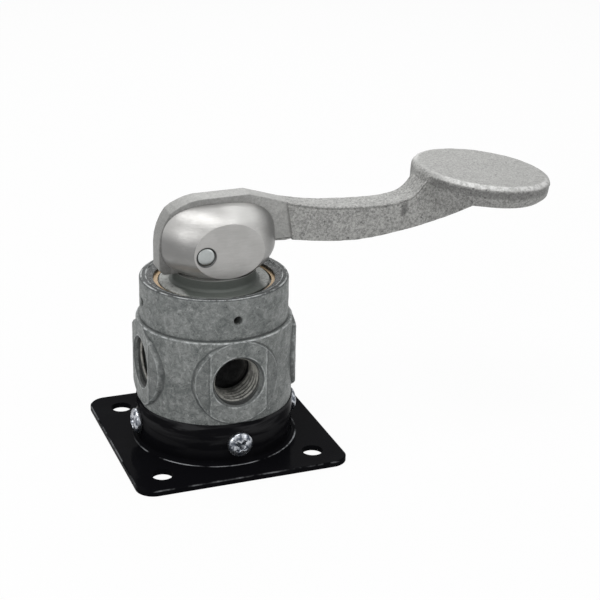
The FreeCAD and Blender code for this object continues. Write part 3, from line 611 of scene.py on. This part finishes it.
def valveBody():
    b = body
    casting = Piece("bodyCasting")
    ledge, portEnd = b["seam"] - b["ledge"], b["flat"] - b["portDepth"]
    edge = [b["bossRadius"] + step for step in b["bossEdge"]]
    circles = [b["mouthRadius"] + b["mouthRound"], *b["boss"], *edge]
    low = holed(lowSkin, b["lowRadius"], b["bottom"], ledge, b["portZ"], circles, b["lowTall"], b["lowRows"])
    port = tube(low[0], [(b["mouthRadius"], b["flat"] - b["mouthRound"]),
                         (b["portRadius"], b["flat"] - b["mouthDepth"]), (b["portRadius"], portEnd),
                         (b["drillRadius"], portEnd), (0, portEnd - b["drillTip"])], b["portZ"])
    ringTop = b["rim"] - b["rimRound"]
    circles = [b["indexRadius"] + b["indexRound"], *b["index"]]
    size = (b["ringRadius"], b["seam"], ringTop, b["indexZ"])
    ring = holed(ringSkin, *size, circles, b["ringTall"], b["ringRows"])
    index = tube(ring[0], [(b["indexRadius"], b["ringRadius"] - b["indexBevel"]),
                           (b["indexRadius"], b["indexEnd"]), (0, b["indexEnd"])], b["indexZ"])
    for k in range(4):
        for grid in (low, port, ring, index):
            casting.patch(castSkin(turn(grid, 90 * k)))
    s = np.linspace(-1, 1, b["across"], endpoint=False)
    quarter = np.arcsin(s * sin(pi / 4))
    angles = np.concatenate([quarter + k * pi / 2 for k in range(4)])
    y = s * b["lowRadius"] * sin(pi / 4)
    edges = {}
    for height in (b["bottom"], ledge):
        row = xyz(lowSkin(y, height), y, height)
        edges[height] = np.vstack([turn(row, 90 * k) for k in range(4)])[None]
    inner = spun([(b["lowRadius"] - b["ledge"], b["seam"]), (b["ringRadius"] + b["cove"], b["seam"]),
                  (b["ringRadius"], b["seam"])], angles)
    casting.patch(castSkin(np.vstack([edges[ledge], inner])))
    r = b["rimRound"]
    bend = np.linspace(0, pi / 2, 9)
    rim = [(b["ringRadius"] - r * (1 - cos(a)), ringTop + r * sin(a)) for a in bend]
    bevel = b["bore"] + b["rimBevel"]
    rim += [(bevel, b["rim"]), (bevel, b["rim"] - b["rimStep"]), (b["bore"], b["rim"] - b["rimDrop"]),
            (b["bore"], b["boreFloor"]), (0, b["boreFloor"])]
    casting.patch(castSkin(spun(rim, angles)))
    foot = spun([(b["spigotRadius"], b["bottom"]), (b["spigotRadius"], b["spigotBottom"])], angles)
    casting.patch(castSkin(np.vstack([edges[b["bottom"]], foot])))
    casting.patch(castSkin(underside(angles)))
    casting.make("body_casting", "body", b["sharp"], ["valve_body"])


thread = {
    "pitch": 1.411, "crest": 5.86, "root": 6.47, "taper": 0.03, "start": 19.72, "end": 10.6, "wall": 6.53,
    "cut": 1.25, "flank": 2.7, "runIn": 1.2, "runOut": 0.5, "columns": 120, "steps": 8, "sharp": 40,
}


def portThreads():
    # r over angle and depth: the root less a V with cut tips, whose phase runs once round for each pitch
    t = thread
    sleeve = Piece("portThreads")
    count = int((t["start"] - t["end"]) / t["pitch"] * t["steps"])
    x = np.linspace(t["start"], t["end"], count)[:, None]
    a = circle(t["columns"])
    phase = (x / t["pitch"] + a / (2 * pi)) % 1
    tooth = np.clip(t["cut"] - t["flank"] * np.abs(phase - 0.5), 0, 1)
    fade = ease(x, t["start"], t["start"] - t["runIn"]) * ease(x, t["end"], t["end"] + t["runOut"])
    tooth = tooth * fade * (t["root"] - t["crest"] + t["taper"] * (t["start"] - x))
    r = t["root"] - tooth
    inner = xyz(x, r * np.cos(a), r * np.sin(a) + body["portZ"])
    outer = spunOut([(t["wall"], t["end"]), (t["wall"], t["start"])], t["columns"], (0, 0, body["portZ"]))
    loop = np.vstack([inner, outer, inner[:1]])
    for k in range(4):
        sleeve.patch(turn(loop, 90 * k))
    sleeve.make("body_casting", "body", t["sharp"])


# collar screws: pan heads with a cross recess

screw = {
    "seat": 21.02, "z": 7.3, "radius": 3.3, "height": 2.1, "skirt": 0.75, "bevel": 0.1, "domeOver": 0.12,
    "domePower": 2.6, "armHalf": 1.75, "slotHalf": 0.42, "slotWiden": 1.25, "slotTaper": 0.35,
    "slotWall": (0.12, -0.06), "armWall": (0.1, -0.25), "armDeep": 0.2, "shallow": 0.55,
    "middle": (1.25, 0.55), "depth": 1.35, "tip": 17.0, "shank": 1.75, "twists": (20, 8, 35, 52),
    "rows": 40, "packed": 0.9, "columns": 112, "sharp": 50,
}


def collarScrews():
    # height over radius and angle: a low dome less a cross, each arm deepening towards the middle
    c = screw
    r = np.linspace(0, 1, c["rows"])[:, None] ** c["packed"] * c["radius"]
    a = circle(c["columns"])
    y, z = r * np.cos(a), r * np.sin(a)
    share = np.clip(1 - (r / (c["radius"] + c["domeOver"])) ** c["domePower"], 0, 1)
    dome = c["skirt"] + (c["height"] - c["skirt"]) * np.sqrt(share)
    along, across = np.maximum(np.abs(y), np.abs(z)), np.minimum(np.abs(y), np.abs(z))
    wide = c["slotHalf"] * (c["slotWiden"] - c["slotTaper"] * along / c["armHalf"])
    cross = ease(across - wide, *c["slotWall"]) * ease(along - c["armHalf"], *c["armWall"])
    cross = cross * (c["shallow"] + (1 - c["shallow"]) * ease(along, c["armHalf"], c["armDeep"]))
    sunk = np.maximum(cross, ease(along + across, *c["middle"])) * c["depth"]
    top = xyz(c["seat"] + dome - sunk, y, z)
    skirt = spunOut([(c["radius"], c["seat"] + c["bevel"]), (c["radius"] - c["bevel"], c["seat"]),
                     (c["shank"], c["seat"]), (c["shank"], c["tip"]), (0, c["tip"])], c["columns"])
    x, y, z = np.moveaxis(np.vstack([top, skirt]), -1, 0)
    head = Piece("collarScrewHeads")
    for k, twist in enumerate(c["twists"]):
        t = radians(twist)
        across, up = y * cos(t) - z * sin(t), y * sin(t) + z * cos(t)
        head.patch(turn(xyz(x, across, up + c["z"]), 90 * k))
    head.make("screw_zinc", "body", c["sharp"], ["collar_screws"])


# turning head: two egg-shaped cheeks with flats, on a neck, a flange and a barrel

fork = {
    "slotHalf": 3.15, "flatY": 10.3, "depth": 12.9, "waist": 55.8, "eggHalf": 15.35, "up": 11.0,
    "down": 8.7, "shift": 0.25, "flatHalf": 9.4, "flatUp": 7.7, "flatDown": 6.9, "flatShift": 0.9,
    "fullUp": 3.0, "fullDown": 2.1, "packed": 0.9, "pinX": -5.3, "pinZ": 55.3, "holeRadius": 2.32,
    "lip": 0.3, "neck": 10.9, "neckBend": 0.9, "floor": 48.7, "flange": 14.5, "flangeTop": 45.7,
    "flangeBevel": 0.25, "shoulder": 44.1, "barrel": 15.95, "barrelBevel": 0.15, "grooveTop": 38.4,
    "groove": 14.5, "grooveLow": 36.2, "end": 34.8, "arcOut": 14.6, "arcIn": 12.2, "arcTop": 35.9,
    "recess": 11.5, "roof": 38.1, "rodHole": 2.05, "columns": 240, "rows": 56, "faceRows": 14, "sharp": 30,
    "turned": 144,
}


def eggOutline(y, a):
    # the cheek's outline at distance y: a superellipse, wide and full at the slot, an ellipse at the flat
    f = fork
    part = np.clip((y - f["slotHalf"]) / (f["flatY"] - f["slotHalf"]), 0, 1)
    share = lambda at: np.sqrt(1 - (at / f["depth"]) ** 2)
    swell = (share(y) - share(f["flatY"])) / (share(f["slotHalf"]) - share(f["flatY"]))
    grow = lambda flat, full: f[flat] + (f[full] - f[flat]) * swell
    c, s = np.cos(a), np.sin(a)
    power = np.where(s > 0, f["fullUp"], f["fullDown"]) * (1 - part) + 2 * part
    tall = np.where(s > 0, grow("flatUp", "up"), grow("flatDown", "down"))
    scale = (np.abs(c) ** power + np.abs(s) ** power) ** (-1 / power)
    shift = f["shift"] + (f["flatShift"] - f["shift"]) * part
    return shift + grow("flatHalf", "eggHalf") * c * scale, f["waist"] + tall * s * scale


def forkHead():
    f = fork
    head = Piece("forkHead")
    a = circle(f["columns"])
    step = np.linspace(0, 1, f["rows"])[:, None]
    y = f["slotHalf"] + (f["flatY"] - f["slotHalf"]) * np.sin(step * pi / 2) ** f["packed"]
    x, z = eggOutline(y, a)
    side = xyz(x, y, z)

    def circleTowards(row, radius, at):  # a circle about the pin, each point in line with its outline point
        dx, dz = row[:, 0] - f["pinX"], row[:, 2] - f["pinZ"]
        reach = np.hypot(dx, dz)
        return xyz(f["pinX"] + radius * dx / reach, at, f["pinZ"] + radius * dz / reach)[None]

    def between(row, ring):
        t = np.linspace(0, 1, f["faceRows"])[:, None, None]
        return row[None] * (1 - t) + ring * t

    flat = between(side[-1], circleTowards(side[-1], f["holeRadius"] + f["lip"], f["flatY"]))
    wall = np.vstack([flat[-1:], circleTowards(side[-1], f["holeRadius"], f["flatY"] - f["lip"])])
    inner = between(side[0], circleTowards(side[-1], f["holeRadius"], f["slotHalf"]))
    bore = np.vstack([wall[-1:], inner[-1:]])
    for grid in (side, flat, wall, bore, inner):
        head.patch(grid)
        head.patch(grid * (1, -1, 1))
    bend, bevel, small = f["neckBend"], f["flangeBevel"], f["barrelBevel"]
    profile = [(f["rodHole"], f["floor"]), (f["neck"], f["floor"])]
    profile += [(f["neck"] + bend * (1 - cos(t)), f["flangeTop"] + bend * (1 - sin(t)))
                for t in np.linspace(0, pi / 2, 7)]
    profile += [(f["flange"] - bevel, f["flangeTop"]), (f["flange"], f["flangeTop"] - bevel),
                (f["flange"], f["shoulder"]), (f["barrel"] - small, f["shoulder"]),
                (f["barrel"], f["shoulder"] - small), (f["barrel"], f["grooveTop"]),
                (f["groove"], f["grooveTop"])]
    corners = [("groove", "grooveLow"), ("barrel", "grooveLow"), ("barrel", "end"), ("arcOut", "end"),
               ("arcOut", "arcTop"), ("arcIn", "arcTop"), ("arcIn", "end"), ("recess", "end"),
               ("recess", "roof"), ("rodHole", "roof"), ("rodHole", "floor")]
    profile += [(f[radius], f[height]) for radius, height in corners]
    head.patch(spun(profile, circle(f["turned"])))
    head.make("fork_satin", "head", f["sharp"], ["fork_head"])


pin = {"radius": 2.3, "half": 10.3, "dome": 0.45, "fullness": 0.7, "rows": 9, "columns": 64, "sharp": 60}


def leverPin():
    # radius over length: a plain pin whose ends are low domes
    a = np.linspace(0, pi / 2, pin["rows"])
    flatEnd = pin["half"] - pin["dome"]
    cap = [(pin["radius"] * sin(t), flatEnd + pin["dome"] * cos(t) ** pin["fullness"]) for t in a]
    x, y, z = np.moveaxis(spunOut([*cap, *[(r, -x) for r, x in cap[::-1]]], pin["columns"]), -1, 0)
    made = Piece("leverPin")
    made.patch(xyz(y + fork["pinX"], x, z + fork["pinZ"]))
    made.make("pin_zinc", "head", pin["sharp"], ["lever_pin"])


# lever: a machined tongue between the cheeks, a cast arm and a palm pad

lever = {
    "pin": (-5.3, 55.3), "hole": 2.35, "half": 3.0, "edge": 0.22, "step": 0.35,
    "corners": [(-15.6, 56.5), (-15.35, 58.9), (-14.7, 61.3), (-13.7, 63.5), (-12.5, 65.3), (-10.9, 66.4),
                (-9.0, 67.25), (-7.1, 67.9), (-5.0, 68.3), (8.7, 68.5), (19.0, 65.4), (22.0, 64.35),
                (23.5, 55.6), (18.5, 54.95), (13.6, 55.3), (7.4, 54.0), (4.4, 51.0), (-6.6, 51.0),
                (-8.6, 49.0), (-14.4, 49.0), (-15.6, 50.2)], "hubTop": (19.0, 65.4), "hubLow": (20.5, 54.9),
    "upperEnd": (58.4, 68.0), "lowerEnd": (84.0, 63.6),
    "upper": [(0, 0), (0.226, 2.41), (0.4545, 3.82), (0.68, 4.67), (0.792, 4.66), (0.855, 4.32),
              (0.906, 3.56), (0.947, 2.16), (0.975, 0.93), (1, 0)],
    "lower": [(0, 0), (0.15, 2.5), (0.298, 4.19), (0.433, 4.67), (0.591, 4.44), (0.82, 2.74), (1, 0)],
    "armHalf": 4.32, "hubHalf": 3.5, "taper": (17.0, 38.0), "flare": 1.9, "flareX": (60.5, 65.0),
    "round": 0.32, "underFace": 1.9, "sunk": 0.05, "lineDepth": 0.75, "lineHalf": 0.4, "lineSunk": 0.3,
    "stations": 150, "topColumns": 12, "sideRows": 38, "sharp": 38, "packed": 1.5, "lump": 0.05,
    "lumpSize": 1.3, "grit": 0.03, "gritSize": 0.55, "seed": 21,
}
pad = {
    "x": 76.7, "top": 69.0, "halfX": 18.75, "halfY": 20.7, "tilt": 5.1, "thick": 6.3, "columns": 220,
    "rows": 34, "underRows": 9,
    "rim": [(2.15, 0.0), (1.55, 0.06), (1.05, 0.24), (0.62, 0.53), (0.3, 0.9), (0.1, 1.32), (0.05, 1.6),
            (0.14, 1.78), (0.33, 1.9), (0.4, 2.1), (0.47, 2.6), (0.6, 3.3), (0.78, 4.05), (0.98, 4.45),
            (1.3, 4.95), (1.75, 5.6), (2.05, 6.0), (2.35, 6.2), (2.9, 6.3)], "rootAngle": (0.35, 0.9),
    "rootDepth": (1.3, 1.8), "rootShare": 0.93, "endAngle": (0.1, 0.8), "endFrom": (1.6, 2.2),
    "endTo": (6.2, 4.6), "endShare": 0.6, "calm": 1.2, "lump": 0.05, "lumpSize": 2.4, "grit": 0.022,
    "gritSize": 0.7, "seed": 31,
}


def through(knots, at):
    # the smooth curve through knots of (position, value), its slope at each knot taken from the neighbours
    position, value = np.array(knots, float).T
    slope = np.gradient(value, position)
    k = np.clip(np.searchsorted(position, at) - 1, 0, len(position) - 2)
    wide = position[k + 1] - position[k]
    t = (at - position[k]) / wide
    rise = wide * t * (1 - t) * (slope[k] * (1 - t) - slope[k + 1] * t)
    return value[k] * (1 + 2 * t) * (1 - t) ** 2 + value[k + 1] * t ** 2 * (3 - 2 * t) + rise


def hanging(x, start, end, sags):  # z at x of the straight line from start to end, less its smooth sag
    share = (x - start[0]) / (end[0] - start[0])
    return start[1] + (end[1] - start[1]) * share - through(sags, np.clip(share, 0, 1))


def padFace(x):
    return pad["top"] - (x - pad["x"]) * tan(radians(pad["tilt"]))


def tongueGrid():
    # outline over place and offset: a rounded strip round the blade, closed by rings about the pin hole
    v = lever
    path = np.array([*v["corners"], v["corners"][0]])
    far = np.concatenate([[0], np.cumsum(np.hypot(*np.diff(path, axis=0).T))])
    at = np.union1d(np.arange(0, far[-1], v["step"]), far)[:-1]
    x, z = np.interp(at, far, path[:, 0]), np.interp(at, far, path[:, 1])
    along = np.stack([np.roll(x, -1) - np.roll(x, 1), np.roll(z, -1) - np.roll(z, 1)])
    outX, outZ = np.array([-along[1], along[0]]) / np.hypot(*along)
    turnIn = np.linspace(0, pi / 2, 5)
    strip = [(v["edge"] * (1 - cos(t)), v["half"] - v["edge"] * (1 - sin(t))) for t in turnIn[::-1]]
    strip += [(inset, -y) for inset, y in strip[::-1]]
    rim = [xyz(x - outX * inset, y, z - outZ * inset) for inset, y in strip]
    dx, dz = x - v["pin"][0], z - v["pin"][1]
    reach = np.hypot(dx, dz)
    holeX, holeZ = v["pin"][0] + v["hole"] * dx / reach, v["pin"][1] + v["hole"] * dz / reach
    near, off = (xyz(holeX, side * v["half"], holeZ) for side in (1, -1))
    return np.stack([near, *rim, off, near])


def armGrid():
    # a rounded box drawn along two hanging edges; it widens a little where it meets the pad's underside
    v = lever
    quarter = np.linspace(0, pi / 2, 6)[:-1]
    flat = np.linspace(1, -1, v["topColumns"], endpoint=False)
    tall = np.linspace(0, 1, v["sideRows"], endpoint=False) ** v["packed"]
    sides = [(flat, 0, 0, 1), (-1, 0, -np.sin(quarter), np.cos(quarter)), (-1, tall, -1, 0),
             (-1, 1, -np.cos(quarter), -np.sin(quarter)), (-flat, 1, 0, -1),
             (1, 1, np.sin(quarter), -np.cos(quarter)), (1, 1 - tall, 1, 0),
             (1, 0, np.cos(quarter), np.sin(quarter))]
    across, down, outY, outZ = np.hstack([np.broadcast_arrays(*side) for side in sides])
    share = np.linspace(0, 1, v["stations"])[:, None]
    topX = v["hubTop"][0] + (v["lowerEnd"][0] - v["hubTop"][0]) * share
    lowX = v["hubLow"][0] + (v["lowerEnd"][0] - v["hubLow"][0]) * share
    top = hanging(np.minimum(topX, v["upperEnd"][0]), v["hubTop"], v["upperEnd"], v["upper"])
    top = np.where(topX > v["upperEnd"][0], padFace(topX) - v["underFace"], top)
    low = hanging(lowX, v["hubLow"], v["lowerEnd"], v["lower"])
    r = v["round"]
    x = topX + (lowX - topX) * down
    z = (top - r) + (low - top + 2 * r) * down + r * outZ
    under = ease(z, padFace(x) - pad["thick"] - v["flare"], padFace(x) - pad["thick"])
    half = v["hubHalf"] + (v["armHalf"] - v["hubHalf"]) * ease(x, *v["taper"])
    half = half + v["flare"] * under ** 2 * ease(x, *v["flareX"])
    y = (half - r) * across + r * outY
    p = xyz(x, y, z)
    move = castRough(p, v, v["seed"])
    line = np.clip(1 - np.abs(top - z - v["lineDepth"]) / v["lineHalf"], 0, 1) * np.abs(outY)
    p = p + xyz(0, outY * (move - v["lineSunk"] * line), outZ * (move - v["sunk"]))
    ends = [row.mean(0) + 0 * row for row in (p[0], p[-1])]
    return np.vstack([ends[0][None], p, ends[1][None]])


def padGrid():
    # depth over angle and inset: an oval face, a rounded rim with a fine line under it, a drafted side and a
    # bevel; the side stands upright over the arm's root
    a = circle(pad["columns"])
    rim = np.array(pad["rim"])
    face, under = np.linspace(0, 1, pad["rows"])[:-1], np.linspace(1, 0, pad["underRows"] + 1)[1:]
    share = np.concatenate([face, np.ones(len(rim)), under])[:, None]
    edge = np.vstack([np.tile(rim[0], (len(face), 1)), rim, np.tile(rim[-1], (len(under), 1))])
    inset, depth = edge[:, :1], edge[:, 1:]
    root = ease(-np.cos(a), *pad["rootAngle"]) * ease(depth, *pad["rootDepth"])
    end = ease(np.cos(a), *pad["endAngle"]) * ease(depth, *pad["endFrom"]) * ease(depth, *pad["endTo"])
    inset = inset * (1 - pad["rootShare"] * root) * (1 - pad["endShare"] * end)
    x = share * (pad["halfX"] - inset) * np.cos(a)
    y = share * (pad["halfY"] - inset) * np.sin(a)
    z = -depth
    p = xyz(x, y, z)
    move = castRough(p, pad, pad["seed"]) - pad["lump"] - pad["grit"]  # inward only, to stay in the box
    side = ease(depth, 0, pad["calm"]) * ease(depth, pad["thick"], pad["thick"] - 1)
    around = 1 + move * side / pad["halfX"]
    x, y = x * around, y * around
    z = z + move * ease(depth, pad["calm"], 0) * share ** 0.5
    c, s = cos(radians(pad["tilt"])), sin(radians(pad["tilt"]))
    return xyz(pad["x"] + x * c + z * s, y, pad["top"] - x * s + z * c)


def castLever():
    made = Piece("castLever")
    for grid in (tongueGrid(), armGrid(), padGrid()):
        made.patch(grid)
    made.make("lever_casting", "lever", lever["sharp"], ["lever"])


# coil springs; travel is how far the joint's limit shortens one, but here it only gives that spring its own
# mesh

springs = {
    "poppet_spring": {"name": "poppetCoil", "body": "body", "wire": 0.5, "turns": 4, "travel": 0.84},
    "detent_spring": {"name": "detentCoil", "body": "head", "wire": 0.35, "turns": 3, "travel": 0},
}
coil = {"steps": 60, "columns": 14, "tip": 0.004, "sharp": 60}


def coilSpring(node, spring):
    # round wire about a helix: radius plus w cos b, height plus w sin b, along its node's longest side
    low, high = (np.array(corner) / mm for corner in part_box(node))
    middle, size = (low + high) / 2, high - low
    tall, across = size.max(), size.min()
    t = np.linspace(0, 1, coil["steps"] * spring["turns"])[:, None]
    b = circle(coil["columns"])
    w = spring["wire"] / 2 * ease(t, 0, coil["tip"]) * ease(t, 1, 1 - coil["tip"])
    r = across / 2 - spring["wire"] / 2 + w * np.cos(b)
    a = 2 * pi * spring["turns"] * t
    rise = (t - 0.5) * (tall - spring["wire"]) + w * np.sin(b)
    wire = np.roll(xyz(r * np.cos(a), r * np.sin(a), rise), int(size.argmax()) - 2, -1)
    made = Piece(spring["name"])
    made.patch(wire + middle)
    piece = made.make("spring_steel", spring["body"], coil["sharp"], [node])
    if spring["travel"]:
        keep = 1 - spring["travel"] / tall
        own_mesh(piece)


for node, spring in springs.items():
    coilSpring(node, spring)
valveBody()
portThreads()
collarScrews()
forkHead()
leverPin()
castLever()


# camera, at the photograph's angle

def aim(azimuth, elevation, roll):
    a, e, r = (radians(x) for x in (azimuth, elevation, roll))
    back = Vector((sin(a) * cos(e), -cos(a) * cos(e), sin(e)))
    level = Vector((cos(a), sin(a), 0))
    rise = back.cross(level)
    right = level * cos(r) + rise * sin(r)
    up = rise * cos(r) - level * sin(r)
    return Matrix((right, up, back)).transposed().to_4x4()


view = {
    "place": (-110.66, -341.79, 184.41), "azimuth": -21.55, "elevation": 21.97, "roll": 1.3, "lens": 88.05,
    "film": 36.0, "nearest": 0.01, "farthest": 20.0,
}
eye = bpy.data.cameras.new("camera")
eye.lens, eye.sensor_width = view["lens"], view["film"]
eye.clip_start, eye.clip_end = view["nearest"], view["farthest"]
camera = added("camera", eye)
camera.matrix_world = (Matrix.Translation(Vector(view["place"]) * mm)
                       @ aim(view["azimuth"], view["elevation"], view["roll"]))
bpy.context.scene.camera = camera


# lamps, floor and background

lamps = {
    "overhead": {"place": (-60, -40, 620), "target": (10, 0, 40), "size": (520, 420), "power": 2.0},
    "leftFront": {"place": (-520, -420, 330), "target": (0, 0, 40), "size": (360, 420), "power": 1.2},
    "rightFront": {"place": (460, -480, 260), "target": (20, 0, 40), "size": (300, 360), "power": 0.6},
    "rear": {"place": (180, 520, 420), "target": (0, 0, 40), "size": (420, 300), "power": 0.9},
}
for name, lamp in lamps.items():
    light = bpy.data.lights.new(name, "AREA")
    light.shape = "RECTANGLE"
    light.size, light.size_y = (side * mm for side in lamp["size"])
    light.energy = lamp["power"]
    stand = added(name, light)
    spot = Vector(lamp["place"]) * mm
    towards = Vector(lamp["target"]) * mm - spot
    stand.matrix_world = Matrix.Translation(spot) @ towards.to_track_quat("-Z", "Y").to_matrix().to_4x4()

backdrop = {
    "fill": 0.35, "floorColour": 0.86, "cloud": 0.2, "cloudShare": 0.01, "floorGlow": 0.94, "floorSide": 3.0,
    "white": ("Is Camera Ray", "Is Glossy Ray", "Is Transmission Ray"),
}


def whiteToEye(s, plain, kind, share):
    # camera, glossy and transmitted rays see that share of even white; all other rays see the plain shader
    rays = [s.node("ShaderNodeLightPath", output=name) for name in backdrop["white"]]
    direct = rays[0].most(rays[1].most(rays[2]))
    white = s.node(kind, None, {"Color": (1, 1, 1, 1), "Strength": 1.0})
    return s.node("ShaderNodeMixShader", None, {0: direct * share, 1: plain, 2: white})


def studio():
    s = Shader("studio", backdrop, "worlds")
    fill = s.node("ShaderNodeBackground", None, {"Color": (1, 1, 1, 1), "Strength": backdrop["fill"]})
    s.node("ShaderNodeOutputWorld", None, {"Surface": whiteToEye(s, fill, "ShaderNodeBackground", 1.0)})
    return s.data


def floorPaint():
    s = Shader("paleFloor", backdrop)
    tone = backdrop["floorColour"] + s.noise(backdrop["cloud"], 2) * backdrop["cloudShare"]
    matt = s.node("ShaderNodeBsdfDiffuse", None, {"Color": tone})
    both = whiteToEye(s, matt, "ShaderNodeEmission", backdrop["floorGlow"])
    s.node("ShaderNodeOutputMaterial", None, {"Surface": both})
    return s.data


bpy.context.scene.world = studio()
half = backdrop["floorSide"] / 2
corners = [(-half, -half, 0), (half, -half, 0), (half, half, 0), (-half, half, 0)]
floorMesh = bpy.data.meshes.new("floor")
floorMesh.from_pydata(corners, [], [(0, 1, 2, 3)])
floorMesh.materials.append(floorPaint())
floor = added("floor", floorMesh)
bpy.context.scene.view_settings.view_transform = "Standard"
print("stage: camera, lamps and floor set")
